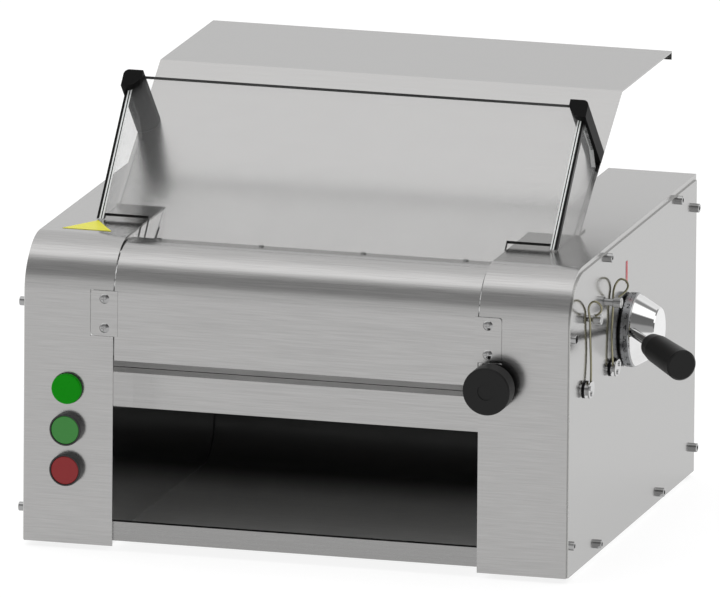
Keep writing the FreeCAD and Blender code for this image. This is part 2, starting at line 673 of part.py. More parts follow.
def lever_stem():
    return Part.makeCylinder(STEM_R, 56, lever_shift(STEM_START), LEVER_DIR)


def dial_hub():
    """Polished cone with a flat end, bored for the shaft and the lever's stem."""
    x0, x1 = HUB_X
    points = [V(x0, 0, 0), V(x0, HUB_R[0], 0), V(x0 + 1.2, HUB_R[0], 0), V(x1 - 1, HUB_R[1] + 0.9, 0),
              V(x1, HUB_R[1], 0), V(x1, 0, 0)]
    cone = Part.Face(Part.makePolygon(points + points[:1])).revolve(V(0, 0, 0), X_AXIS, 360)
    cone.translate(V(0, DIAL_D, DIAL_Z))
    shaft_bore = rod_x(x0 - 1, HALF + 26, DIAL_D, DIAL_Z, SHAFT_R)
    return cone.cut(Part.makeCompound([shaft_bore, lever_stem()]))


def lever_grip():
    """Grip with a tapered near end, turned about the lever's stem."""
    start, end = GRIP_OUTLINE[0][0], GRIP_OUTLINE[-1][0]
    corners = [V(0, 0, start)] + [V(r, 0, t) for t, r in GRIP_OUTLINE] + [V(0, 0, end)]
    grip = Part.Face(Part.makePolygon(corners + corners[:1])).revolve(V(0, 0, 0), Z_AXIS, 360)
    grip.Placement = FreeCAD.Placement(LEVER_ROOT, FreeCAD.Rotation(Z_AXIS, LEVER_DIR))
    return grip.cut(lever_stem())


# ---------------------------------------------------------------- guard
def guard_sheet(low, high, x0, x1):
    """Part of the leaning screen between two distances up its slope."""
    points = [guard_point(low, 0), guard_point(high, 0), guard_point(high, GUARD_T),
              guard_point(low, GUARD_T)]
    return side_profile(points, x0, x1)


def guard_screen():
    """Leaning front screen: notched over the towers, and dropping between them to its pivot."""
    length = math.hypot(GUARD_RUN, GUARD_RISE)
    notch = 8.2
    upper = guard_sheet(notch, length, -GUARD_HALF, GUARD_HALF)
    middle = guard_sheet(-26, notch + 1, -GAP_HALF + 3, GAP_HALF - 3)
    foot = guard_sheet(1.0, notch + 1, GUARD_HALF - 6.5, GUARD_HALF)
    below = box((GAP_HALF, HALF), (0, DEPTH), (0, TOP + GUARD_LIFT))
    foot = foot.cut(below)
    return fuse([upper, middle, foot, mirror(foot)]).cut(Part.makeCompound([guard_bars(), guard_rod()]))


def wing_solid():
    length = math.hypot(GUARD_RUN, GUARD_RISE)
    rear_gap = 5.2
    z_low, z_rear = TOP + 1.0, TOP + 50.0
    points = [guard_point(1.6, GUARD_T), guard_point(length, GUARD_T),
              (chute_depth(z_rear) - rear_gap, z_rear), (chute_depth(z_low) - rear_gap, z_low)]
    return side_profile(points, GUARD_HALF - WING_T, GUARD_HALF)


def guard_wings():
    below = box((GAP_HALF, HALF), (0, DEPTH), (0, TOP + GUARD_LIFT))
    wing = wing_solid().cut(Part.makeCompound([bar_solid(), below]))
    return both_sides(wing)


def bar_solid():
    """Black bar along the right wing's upper edge: quarter-round section, square front end."""
    def at(inward, down):
        return BAR_TOP - X_AXIS * inward - BAR_UP * down

    def line(start, end):
        return Part.makeLine(at(*start), at(*end))

    outer_arc = Part.Arc(at(0, 5.5), at(1.6, 1.6), at(4.7, 0)).toShape()
    under_arc = Part.Arc(at(BAR_W, 6), at(14.2, 13.5), at(5.5, BAR_H)).toShape()
    edges = [line((4.7, 0), (BAR_W, 0)), line((BAR_W, 0), (BAR_W, 6)), under_arc,
             line((5.5, BAR_H), (0, BAR_H)), line((0, BAR_H), (0, 5.5)), outer_arc]
    bar = Part.Face(Part.Wire(edges)).extrude(BAR_DIR * 110)
    low, high = TOP + 5, TOP + 150
    keep = side_profile([(0, low), (chute_depth(low) - BAR_GAP, low),
                         (chute_depth(high) - BAR_GAP, high), (0, high)], 0, HALF)
    return bar.common(keep)


def guard_bars():
    """The bars of both wings."""
    return both_sides(bar_solid())


def guard_pivot():
    """(d, z) of the screen's hinge axis."""
    return guard_point(PIVOT_T, GUARD_T / 2)


def guard_rod():
    """Pivot rod with clamps for the screen and a cam for the interlock switch."""
    d, z = guard_pivot()
    rod = rod_x(-GAP_HALF - 40, FRAME_OUT - 1, d, z, GUARD_ROD_R)
    clamps = []
    for x in CLAMP_PLACES:
        points = [guard_point(-41, -3.5), guard_point(-19, -3.5), guard_point(-19, GUARD_T + 3.5),
                  guard_point(-41, GUARD_T + 3.5)]
        clamps.append(side_profile(points, x - 15, x + 15).cut(guard_sheet(-26, 0, x - 20, x + 20)))
    cam = fuse([rod_x(-192, -184, d, z, 8), box((-192, -184), (d, d + 12), (z - 3, z + 3))])
    return fuse([rod] + clamps + [cam])


def interlock_switch():
    d, z = guard_pivot()
    case = box((-198, -182), (d + 14, d + 34), (z - 14, z + 6))
    return fuse([case, box((-190, -186), (d + 13, d + 14), (z - 2, z + 2))])


# ---------------------------------------------------------------- controls
def front_rims(shape, depth):
    """Round edges of a shape that lie at one depth."""
    return [e for e in shape.Edges if e.Closed and abs(e.BoundBox.YMin - depth) < 0.01]


def pilot_body():
    z = CONTROL_Z["pilot"]
    rim = rod_y(-2, 0, CONTROL_X, z, LENS_R + 0.4)
    return fuse([rim, rod_y(0, 22, CONTROL_X, z, 11.1)])


def pilot_lens():
    z = CONTROL_Z["pilot"]
    lens = rod_y(-LENS_OUT, -2, CONTROL_X, z, LENS_R)
    return lens.makeFillet(1.5, front_rims(lens, -LENS_OUT))


def button_bezel(z):
    ring = rod_y(-BEZEL_DEPTH, 0, CONTROL_X, z, BEZEL_R)
    ring = ring.makeFillet(1.2, front_rims(ring, -BEZEL_DEPTH))
    body = fuse([ring, rod_y(0, 20, CONTROL_X, z, 11.1)])
    return body.cut(Part.makeCompound([rod_y(-BEZEL_DEPTH - 1, -1, CONTROL_X, z, CAP_R + 0.3),
                                       rod_y(-2, 21, CONTROL_X, z, 6 + RUN_CLEAR)]))


def button_bezels():
    return Part.makeCompound([button_bezel(CONTROL_Z[c]) for c in ("green", "red")])


def push_button(colour):
    z = CONTROL_Z[colour]
    cap = rod_y(-CAP_OUT, -CAP_BACK, CONTROL_X, z, CAP_R)
    cap = cap.makeFillet(0.8, front_rims(cap, -CAP_OUT))
    return fuse([cap, rod_y(-CAP_BACK, 16, CONTROL_X, z, 6)])


def contact_blocks():
    half = 14
    blocks = [box((CONTROL_X - half, CONTROL_X + half), (22, 55), (z - half, z + half))
              for z in CONTROL_Z.values()]
    return Part.makeCompound(blocks)


def lock_knob():
    """Knob with a round recess in its face and a boss behind."""
    front, back = KNOB_D
    knob = rod_y(front, back, KNOB_X, KNOB_Z, KNOB_R)
    knob = knob.makeFillet(1.6, [e for e in knob.Edges if e.Closed])
    knob = fuse([knob, rod_y(back, -1, KNOB_X, KNOB_Z, 9)])
    return knob.cut(Part.makeCompound([rod_y(front - 1, front + 0.8, KNOB_X, KNOB_Z, 8),
                                       rod_y(front + 8, 0, KNOB_X, KNOB_Z, LOCK_R)]))


def lock_screw():
    return rod_y(KNOB_D[0] + 8, 40, KNOB_X, KNOB_Z, LOCK_R)


def yellow_marker():
    """Plain triangle plate on the left tower's top."""
    corners = [V(-240, 59, TOP), V(-193.5, 59, TOP), V(-217, 98.5, TOP)]
    plate = Part.Face(Part.makePolygon(corners + corners[:1])).extrude(V(0, 0, 0.4))
    return plate


def index_mark():
    """Painted stroke on the panel, above the dial."""
    return box((HALF, HALF + 0.3), INDEX_D, INDEX_Z)


def cable_gland():
    thread = rod_y(DEPTH - 14, DEPTH + 4, GLAND_X, GLAND_Z, 8)
    nut = rod_y(DEPTH, DEPTH + 16, GLAND_X, GLAND_Z, 11)
    return fuse([thread, nut]).cut(rod_y(DEPTH - 15, DEPTH + 17, GLAND_X, GLAND_Z, CABLE_R))


# ---------------------------------------------------------------- studs and clips
def clip_stud(d, z):
    """Round stud through the right panel, with a collar inside and a slotted head outside."""
    head = rod_x(HALF + 4.4, HALF + STUD_OUT, d, z, STUD_HEAD_R)
    head = head.makeFillet(0.6, [e for e in head.Edges if e.Closed])
    slot = box((HALF + STUD_OUT - 1.5, HALF + STUD_OUT + 1), (d - 0.8, d + 0.8), (z - 3.4, z + 3.4))
    shank = rod_x(HALF - 9, HALF + 5, d, z, STUD_R)
    collar = rod_x(HALF - SHEET * 2 - 2.5, HALF - SHEET * 2, d, z, STUD_HEAD_R)
    return fuse([head.cut(slot), shank, collar])


def clip_studs():
    return Part.makeCompound([clip_stud(d, z) for d, z in STUD_PLACES.values()])


def beside_stud(side, out, away, above):
    """Point given from the panel, from the clip's stud and above it."""
    d, z = STUD_PLACES[side]
    return V(HALF + out, d + side * away, z + above)


def lug_plate(side, x0, x1):
    """Oblong plate of a lug between two distances from the panel."""
    near, far = (beside_stud(side, 0, away, -LUG_DROP) for away in LUG_SPAN)
    low, high = sorted((near.y, far.y))
    ends = [rod_x(HALF + x0, HALF + x1, end.y, end.z, LUG_R) for end in (near, far)]
    middle = box((HALF + x0, HALF + x1), (low, high), (near.z - LUG_R, near.z + LUG_R))
    return fuse(ends + [middle])


def clip_lug(side):
    """Base, post for the wire's eye, web on the far side of it, and a cap with two rivets."""
    post = beside_stud(side, 0, POST_SHIFT, -LUG_DROP)
    far = beside_stud(side, 0, LUG_SPAN[1], -LUG_DROP)
    web = rod_x(HALF + 1, HALF + 5, far.y, far.z, LUG_R - 2.4)
    rivets = [beside_stud(side, 0, 16.5, 2.5 - LUG_DROP), beside_stud(side, 0, 11.0, -4.0 - LUG_DROP)]
    pieces = [lug_plate(side, 0, 1.5), lug_plate(side, 4.6, 5.9), web,
              rod_x(HALF + 1, HALF + 5, post.y, post.z, POST_R)]
    pieces += [rod_x(HALF + 5.9, HALF + 6.9, rivet.y, rivet.z, 2.3) for rivet in rivets]
    return fuse(pieces)


def clip_lugs():
    return Part.makeCompound([clip_lug(side) for side in STUD_PLACES])


def spring_clip(side):
    """Bent wire: an eye on the lug's post, a leg behind the stud's head, a curl that ends on it."""
    eye_x = 3.05
    eye_r = POST_R + RUN_CLEAR + WIRE_R
    post = beside_stud(side, eye_x, POST_SHIFT, -LUG_DROP)
    points = [post + Z_AXIS * eye_r] + [beside_stud(side, *place) for place in CLIP_WIRE]
    curve = Part.BSplineCurve()
    curve.interpolate(points)
    start = curve.tangent(curve.FirstParameter)[0]
    section = Part.Wire(Part.makeCircle(WIRE_R, points[0], start))
    wire = Part.Wire(curve.toShape()).makePipeShell([section], True, False)
    return fuse([wire, Part.makeTorus(eye_r, WIRE_R, post, X_AXIS)])


PARTS = {
    "left_frame_plate": left_frame_plate, "right_frame_plate": right_frame_plate,
    "left_tower_cover": left_tower_cover, "right_tower_cover": right_tower_cover,
    "left_side_panel": lambda: mirror(side_panel()), "right_side_panel": right_side_panel,
    "panel_screws": panel_screws, "front_cover": front_cover, "cover_screws": cover_screws,
    "cover_rivets": cover_rivets, "cover_rail": cover_rail, "outlet_deflector": outlet_deflector,
    "base_tray": base_tray, "outlet_slide": outlet_slide, "rear_cover": rear_cover,
    "feed_chute": feed_chute, "chute_screws": chute_screws, "rubber_feet": rubber_feet,
    "bearing_housings": bearing_housings,
    "front_roller_bearings": lambda: bearing_pair(FRONT_ROLLER_D), "scrapers": scrapers,
    "drive_belt": drive_belt, "gearbox": gearbox, "motor": motor, "motor_shelf": motor_shelf,
    "clip_studs": clip_studs, "clip_lugs": clip_lugs, "dial_flange": dial_flange,
    "index_mark": index_mark, "yellow_marker": yellow_marker, "pilot_body": pilot_body,
    "pilot_lens": pilot_lens, "button_bezels": button_bezels, "contact_blocks": contact_blocks,
    "interlock_switch": interlock_switch, "cable_gland": cable_gland,
    "front_roller": lambda: roller(FRONT_ROLLER_D, PULLEY_X[0] - 2),
    "front_roller_gear": lambda: roller_gear(FRONT_ROLLER_D, 0),
    "roller_pulley": roller_pulley, "motor_pulley": motor_pulley,
    "rear_roller": lambda: roller(REAR_ROLLER_D, GEAR_X[0] - 2),
    "rear_roller_gear": lambda: roller_gear(REAR_ROLLER_D, 0.5),
    "bearing_blocks": bearing_blocks, "rear_roller_bearings": lambda: bearing_pair(REAR_ROLLER_D),
    "adjuster_shaft": adjuster_shaft, "adjuster_cams": adjuster_cams,
    "thickness_dial": thickness_dial, "dial_hub": dial_hub, "lever_stem": lever_stem,
    "lever_grip": lever_grip, "guard_screen": guard_screen, "guard_wings": guard_wings,
    "guard_bars": guard_bars, "guard_rod": guard_rod, "lock_knob": lock_knob, "lock_screw": lock_screw,
    "green_button": lambda: push_button("green"), "red_button": lambda: push_button("red"),
    "front_spring_clip": lambda: spring_clip(-1),
    "rear_spring_clip": lambda: spring_clip(1),
}


def main():
    os.makedirs("parts", exist_ok=True)
    for name, make in PARTS.items():
        save(name, make())


main()
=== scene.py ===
"""Looks of the dough sheeter around the fixed CAD frame.

Materials, small surface details, camera, light and floor. Lengths are in metres.
"""
import math

import bmesh
import bpy
from mathutils import Matrix, Vector


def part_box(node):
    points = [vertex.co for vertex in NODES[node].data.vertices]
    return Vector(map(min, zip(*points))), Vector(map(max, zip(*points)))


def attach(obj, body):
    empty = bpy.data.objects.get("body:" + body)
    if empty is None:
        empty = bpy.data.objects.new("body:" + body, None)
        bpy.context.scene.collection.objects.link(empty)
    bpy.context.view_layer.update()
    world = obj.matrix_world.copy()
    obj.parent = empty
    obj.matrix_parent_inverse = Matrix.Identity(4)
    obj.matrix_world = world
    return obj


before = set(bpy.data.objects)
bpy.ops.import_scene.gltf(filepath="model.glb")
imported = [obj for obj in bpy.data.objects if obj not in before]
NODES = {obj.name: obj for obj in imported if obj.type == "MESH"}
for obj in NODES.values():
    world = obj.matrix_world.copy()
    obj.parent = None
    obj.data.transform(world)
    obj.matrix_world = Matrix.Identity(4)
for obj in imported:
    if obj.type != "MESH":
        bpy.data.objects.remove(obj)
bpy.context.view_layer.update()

SIDES = ((-1, "left"), (1, "right"))


# ---------------------------------------------------------------- node helpers

RAMP_ENDS = (0.3, 0.7)        # noise values at which a ramp starts and ends


def new_material(name):
    """A material, its node tree and its Principled shader."""
    material = bpy.data.materials.new(name)
    material.use_nodes = True
    tree = material.node_tree
    return material, tree, tree.nodes["Principled BSDF"]


def grain(tree, scale, detail=2.0, roughness=0.5):
    """Noise in the object's own coordinates, with a scale in features per metre along X, Y and Z."""
    coords = tree.nodes.new("ShaderNodeTexCoord")
    mapping = tree.nodes.new("ShaderNodeMapping")
    mapping.inputs["Scale"].default_value = scale
    noise = tree.nodes.new("ShaderNodeTexNoise")
    noise.inputs["Scale"].default_value = 1.0
    noise.inputs["Detail"].default_value = detail
    noise.inputs["Roughness"].default_value = roughness
    tree.links.new(coords.outputs["Object"], mapping.inputs["Vector"])
    tree.links.new(mapping.outputs["Vector"], noise.inputs["Vector"])
    return noise.outputs["Fac"]


def ramp(tree, value, low, high):
    """Colour ramp from low to high, which are greys or RGB triples."""
    node = tree.nodes.new("ShaderNodeValToRGB")
    for element, place, level in zip(node.color_ramp.elements, RAMP_ENDS, (low, high)):
        element.position = place
        rgb = (level,) * 3 if isinstance(level, float) else level
        element.color = (*rgb, 1.0)
    tree.links.new(value, node.inputs["Fac"])
    return node.outputs["Color"]


def bump(tree, shader, height, distance):
    """Raise the shader's surface by a height up to a distance."""
    node = tree.nodes.new("ShaderNodeBump")
    node.inputs["Strength"].default_value = 1.0
    node.inputs["Distance"].default_value = distance
    tree.links.new(height, node.inputs["Height"])
    tree.links.new(node.outputs["Normal"], shader.inputs["Normal"])


def shade(rgb, factor):
    """Colour made lighter or darker by a factor."""
    return tuple(channel * factor for channel in rgb)


def around(tree, value, rgb, contrast):
    """Ramp from slightly below a colour to slightly above it."""
    return ramp(tree, value, shade(rgb, 1 - contrast), shade(rgb, 1 + contrast))


def vary(tree, shader, noise, rgb, contrast, rough):
    """Let a noise vary the base colour around a mean and the roughness between two values."""
    tree.links.new(around(tree, noise, rgb, contrast), shader.inputs["Base Color"])
    tree.links.new(ramp(tree, noise, *rough), shader.inputs["Roughness"])


# ---------------------------------------------------------------- materials

ALONG = 20.0                  # grain features per metre along the brushing
ACROSS = 800.0                # and across it
FOLD_GRAIN = (40.0, 500.0, 500.0)
SLIDE_GRAIN = (30.0, 300.0, 300.0)
SLIDE_SHADE_SPAN = (-0.03, 0.10)    # places along Y between which painted shade darkens the slide
SLIDE_SHADE_LEAST = 0.06            # fraction of its colour left under the painted shade at the back
MIST_GRAIN = (18.0, 18.0, 18.0)
CLEAR_LOW = (0.98, 1.0, 1.0)
CLEAR_HIGH = (1.0, 1.0, 1.0)
CLEAR_CONTRAST = 0.03
CLEAR_ROUGH = 0.08
ACRYLIC_IOR = 1.49


def brushed(name, rgb, along, rough, relief, contrast):
    """Sheet steel brushed in one direction: fine streaks in tone, gloss and relief."""
    material, tree, shader = new_material(name)
    scale = tuple(ALONG if axis == along else ACROSS for axis in "XYZ")
    streaks = grain(tree, scale, detail=3.0, roughness=0.65)
    vary(tree, shader, streaks, rgb, contrast, rough)
    bump(tree, shader, streaks, relief)
    shader.inputs["Metallic"].default_value = 1.0
    return material


def metal(name, rgb, rough, scale=(150.0, 150.0, 150.0), relief=0.0, contrast=0.05):
    """Turned, ground or polished metal with slight stains and tool marks."""
    material, tree, shader = new_material(name)
    marks = grain(tree, scale, detail=3.0)
    vary(tree, shader, marks, rgb, contrast, (rough * 0.8, rough * 1.2))
    if relief:
        bump(tree, shader, marks, relief)
    shader.inputs["Metallic"].default_value = 1.0
    return material


def folded(name, rgb, rough):
    """Mill-finish sheet inside a fold: dull, with part of its light scattered."""
    material, tree, shader = new_material(name)
    vary(tree, shader, grain(tree, FOLD_GRAIN, detail=3.0), rgb, 0.05, rough)
    shader.inputs["Metallic"].default_value = 0.7
    return material


def darkening(tree, colour, places, least):
    """Painted shade: fade a colour to a fraction of itself between two places along Y."""
    coords = tree.nodes.new("ShaderNodeTexCoord")
    split = tree.nodes.new("ShaderNodeSeparateXYZ")
    tree.links.new(coords.outputs["Object"], split.inputs["Vector"])
    fade = tree.nodes.new("ShaderNodeMapRange")
    fade.interpolation_type = "SMOOTHSTEP"
    for socket, value in zip(("From Min", "From Max", "To Min", "To Max"), (*places, 1.0, least)):
        fade.inputs[socket].default_value = value
    tree.links.new(split.outputs["Y"], fade.inputs["Value"])
    scaled = tree.nodes.new("ShaderNodeVectorMath")
    scaled.operation = "SCALE"
    tree.links.new(colour, scaled.inputs["Vector"])
    tree.links.new(fade.outputs["Result"], scaled.inputs["Scale"])
    return scaled.outputs["Vector"]


def slide_sheet(name, rgb):
    """The outlet's slide: dull with scattered light, and darker towards its closed back with painted
    shade.
    """
    material, tree, shader = new_material(name)
    streaks = grain(tree, SLIDE_GRAIN, detail=3.0)
    colour = around(tree, streaks, rgb, 0.06)
    tree.links.new(darkening(tree, colour, SLIDE_SHADE_SPAN, SLIDE_SHADE_LEAST), shader.inputs["Base Color"])
    tree.links.new(ramp(tree, streaks, 0.45, 0.55), shader.inputs["Roughness"])
    shader.inputs["Metallic"].default_value = 0.3
    return material


def plastic(name, rgb, rough, relief=0.00001, contrast=0.12, specular=0.5):
    """Moulded plastic or rubber with a fine spark-eroded texture."""
    material, tree, shader = new_material(name)
    texture = grain(tree, (900.0,) * 3)
    vary(tree, shader, texture, rgb, contrast, (rough * 0.9, rough * 1.1))
    bump(tree, shader, texture, relief)
    shader.inputs["Specular IOR Level"].default_value = specular
    return material


def clear_sheet(name, haze, tint, specular=0.5):
    """Clear acrylic: see-through, faintly hazy, with stronger reflections at a glancing angle."""
    material, tree, shader = new_material(name)
    mist = grain(tree, MIST_GRAIN)
    tree.links.new(ramp(tree, mist, *haze), shader.inputs["Alpha"])
    low = shade(CLEAR_LOW, tint * (1 - CLEAR_CONTRAST))
    high = shade(CLEAR_HIGH, tint * (1 + CLEAR_CONTRAST))
    tree.links.new(ramp(tree, mist, low, high), shader.inputs["Base Color"])
    shader.inputs["Roughness"].default_value = CLEAR_ROUGH
    shader.inputs["IOR"].default_value = ACRYLIC_IOR
    shader.inputs["Specular IOR Level"].default_value = specular
    return material


STEEL = (0.385, 0.382, 0.378)

MATERIALS = {
    "sheet_x": brushed("sheet_x", STEEL, "X", (0.17, 0.25), 0.000008, 0.08),
    "sheet_y": brushed("sheet_y", shade(STEEL, 0.90), "Y", (0.12, 0.17), 0.000003, 0.025),
    "chute": brushed("chute", shade(STEEL, 1.03), "X", (0.22, 0.27), 0.000004, 0.03),
    # tray: the same steel darkened by a quarter, painted shade of the shadowed floor its lip reflects
    "tray": brushed("tray", shade(STEEL, 0.76), "X", (0.22, 0.30), 0.000007, 0.05),
    "mirror": metal("mirror", (0.94, 0.94, 0.94), 0.1, scale=(40.0, 40.0, 600.0), contrast=0.02),
    # lighter steel on the side panels' rims: painted highlight along their edges
    "edge": metal("edge", (0.52, 0.52, 0.51), 0.25, scale=(30.0,) * 3, contrast=0.02),
    "slide": slide_sheet("slide", (0.62, 0.62, 0.61)),
    "fold": folded("fold", STEEL, (0.55, 0.65)),
    # steel darkened to a tenth: painted shadow on the deflector lip's end, under the rail
    "lip_painted_shadow": folded("lip_painted_shadow", shade(STEEL, 0.1), (0.5, 0.6)),
    "polished": metal("polished", (0.45, 0.45, 0.45), 0.08),
    "screw": metal("screw", (0.34, 0.34, 0.34), 0.12),
    "hub": metal("hub", (0.74, 0.74, 0.74), 0.03, contrast=0.02),
    "turned": metal("turned", (0.5, 0.5, 0.49), 0.22, scale=(900.0, 40.0, 40.0), relief=0.000004),
    "ground": metal("ground", (0.52, 0.52, 0.52), 0.2, scale=(1200.0, 60.0, 60.0), relief=0.000003),
    "cast": metal("cast", (0.16, 0.16, 0.17), 0.5, scale=(500.0,) * 3, relief=0.00005),
    "alloy": metal("alloy", (0.5, 0.51, 0.52), 0.35, scale=(300.0,) * 3, relief=0.00001),
    "dial": metal("dial", (0.33, 0.335, 0.345), 0.3, scale=(600.0, 30.0, 30.0), relief=0.000004),
    "wire": metal("wire", (0.26, 0.245, 0.165), 0.2, scale=(400.0, 400.0, 60.0)),
    "black": plastic("black", (0.007, 0.007, 0.007), 0.4, specular=0.2),
    "bar": plastic("bar", (0.006, 0.006, 0.006), 0.5, specular=0.06),
    "bezel": plastic("bezel", (0.03, 0.029, 0.03), 0.38, specular=0.3),
    "rubber": plastic("rubber", (0.012, 0.012, 0.012), 0.75, relief=0.00003, specular=0.2),
    "clear": clear_sheet("clear", haze=(0.05, 0.08), tint=0.6, specular=0.25),
    "clear_wing": clear_sheet("clear_wing", haze=(0.16, 0.22), tint=0.35),
    # edge looks of the clear guard: painted dark reflection and painted highlight along the acrylic's
    # edges
    "clear_edge_painted_dark": plastic("clear_edge_painted_dark", (0.004, 0.004, 0.004), 0.3, relief=0.0, specular=0.1),
    "clear_rim_painted_highlight": plastic("clear_rim_painted_highlight", (0.80, 0.82, 0.81), 0.2, relief=0.0, contrast=0.05),
    # light grey on the right wing's edges: painted highlight
    "clear_line_painted_highlight": plastic("clear_line_painted_highlight", (0.55, 0.56, 0.56), 0.2, relief=0.0, contrast=0.05),
    "green_lens": plastic("green_lens", (0.002, 0.24, 0.002), 0.35, relief=0.0, contrast=0.04,
                          specular=0.08),
    "green_cap": plastic("green_cap", (0.036, 0.215, 0.036), 0.3, relief=0.000002, contrast=0.05,
                         specular=0.3),
    "red_cap": plastic("red_cap", (0.235, 0.012, 0.014), 0.3, relief=0.000002, contrast=0.05,
                       specular=0.3),
    "red_paint": plastic("red_paint", (0.55, 0.03, 0.045), 0.35, relief=0.0),
    "yellow_paint": plastic("yellow_paint", (0.80, 0.76, 0.005), 0.4, relief=0.0, contrast=0.05),
    # black ink for the dial's print, also used as painted shade on the slide's side edges
    "ink_and_painted_shade": plastic("ink_and_painted_shade", (0.006, 0.006, 0.007), 0.5, relief=0.0, specular=0.1),
}

LOOKS = {
    "sheet_x": ("left_tower_cover", "right_tower_cover", "front_cover", "outlet_deflector",
                "rear_cover", "motor_shelf"),
    "tray": ("base_tray",),
    "mirror": ("left_frame_plate", "right_frame_plate"),
    "chute": ("feed_chute",),
    "sheet_y": ("left_side_panel", "right_side_panel"),
    "slide": ("outlet_slide",),
    "fold": ("cover_rail",),
    "screw": ("panel_screws", "cover_screws", "cover_rivets", "chute_screws"),
    "polished": ("clip_lugs", "clip_studs", "lever_stem", "lock_screw"),
    "hub": ("dial_hub",),
    "turned": ("adjuster_shaft", "guard_rod", "bearing_housings", "bearing_blocks",
               "front_roller_bearings", "rear_roller_bearings", "adjuster_cams"),
    "ground": ("front_roller", "rear_roller", "scrapers"),
    "cast": ("front_roller_gear", "rear_roller_gear", "gearbox"),
    "alloy": ("motor", "motor_pulley", "roller_pulley"),
    "dial": ("thickness_dial",),
    "wire": ("front_spring_clip", "rear_spring_clip"),
    "bar": ("guard_bars",),
    "black": ("lever_grip", "lock_knob", "contact_blocks", "pilot_body",
              "interlock_switch", "cable_gland", "dial_flange"),
    "bezel": ("button_bezels",),
    "rubber": ("drive_belt", "rubber_feet"),
    "clear": ("guard_screen",),
    "clear_wing": ("guard_wings",),
    "green_lens": ("pilot_lens",),
    "green_cap": ("green_button",),
    "red_cap": ("red_button",),
    "red_paint": ("index_mark",),
    "yellow_paint": ("yellow_marker",),
}


def dress_nodes():
    """Give every CAD node its main look."""
    for look, nodes in LOOKS.items():
        for node in nodes:
            mesh = NODES[node].data
            mesh.materials.clear()
            mesh.materials.append(MATERIALS[look])


# ---------------------------------------------------------------- faces with a second look

FACING = 0.5                  # part of a normal above which a face counts as turned that way
SQUARE = 0.9                  # and above which it counts as square to an axis
LUG_FOOT_T = 0.0016           # a little over the thickness of the plates that the lugs stand on
LUG_FOOT_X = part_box("clip_lugs")[0][0] + LUG_FOOT_T


def screen_edge(normal, centre):
    """Edge faces of the leaning screen: sideways ones and those that face along its slope, which get a
    painted dark reflection.
    """
    return abs(normal.x) > FACING or normal.y * normal.z > 0


def right_wing_edge(normal, centre):
    """Cut edges of the guard's right wing, without the ones underneath, which get a painted highlight.
    """
    return centre.x > 0 and abs(normal.x) < FACING and normal.z > -FACING


def turned_down(normal, centre):
    return normal.z < -FACING


# the slide's side edges, which get painted shade
def sideways(normal, centre):
    return abs(normal.x) > SQUARE


def rim(normal, centre):
    """Cut edges of a panel that stands across X."""
    return abs(normal.x) < FACING


def lip_end(normal, centre):
    """Cut end of the deflector's turned-in lip, in the shade of the rail, where that shadow is painted
    on.
    """
    return normal.y < -FACING and normal.z > FACING


def lug_foot(normal, centre):
    """Rims of the plates that the lugs stand on."""
    return centre.x < LUG_FOOT_X and rim(normal, centre)


SECOND_LOOKS = (              # in the order in which they are laid over each other
    ("guard_screen", "clear_edge_painted_dark", screen_edge),
    ("guard_wings", "clear_line_painted_highlight", right_wing_edge),
    ("outlet_deflector", "fold", turned_down),
    ("outlet_deflector", "lip_painted_shadow", lip_end),
    # painted shade on the slide's side edges
    ("outlet_slide", "ink_and_painted_shade", sideways),
    # side panels' rims: painted highlight
    ("left_side_panel", "edge", rim),
    ("right_side_panel", "edge", rim),
    ("clip_lugs", "ink_and_painted_shade", lug_foot),
)


def paint_faces(node, look, chosen):
    """Give a second look to the faces that a test picks by their normal and centre."""
    mesh = NODES[node].data
    mesh.materials.append(MATERIALS[look])
    index = len(mesh.materials) - 1
    for face in mesh.polygons:
        if chosen(face.normal, face.center):
            face.material_index = index


# ---------------------------------------------------------------- small pieces

LIFT = 0.00003                # keeps a painted mark clear of its surface


def add_piece(name, bm, look, body):
    """Turn a bmesh into an object that rides on a body."""
    bmesh.ops.recalc_face_normals(bm, faces=bm.faces[:])
    mesh = bpy.data.meshes.new(name)
    bm.to_mesh(mesh)
    bm.free()
    mesh.materials.append(MATERIALS[look])
    piece = bpy.data.objects.new(name, mesh)
    bpy.context.collection.objects.link(piece)
    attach(piece, body)


def skin(bm, loops):
    """Join a row of equal loops of points with faces, and close both ends."""
    rows = [[bm.verts.new(point) for point in loop] for loop in loops]
    count = len(rows[0])
    for low, high in zip(rows, rows[1:]):
        for k in range(count):
            after = (k + 1) % count
            bm.faces.new((low[k], low[after], high[after], high[k]))
    bm.faces.new(rows[0])
    bm.faces.new(rows[-1])


# the black strips are painted dark reflection, the white and pale ones painted highlight
# (name, start and end measured inwards from the screen's side, look)
STRIPS = (("outer", 0.0, 0.0024, "clear_edge_painted_dark"), ("white", 0.0025, 0.0038, "clear_rim_painted_highlight"),
          ("inner", 0.0039, 0.0048, "clear_edge_painted_dark"), ("pale", 0.0049, 0.0061, "clear_rim_painted_highlight"))
STRIP_T = 0.00015
STRIP_END = 0.001             # strips stop this far from the screen's ends
STRIP_CORNER = 0.0003


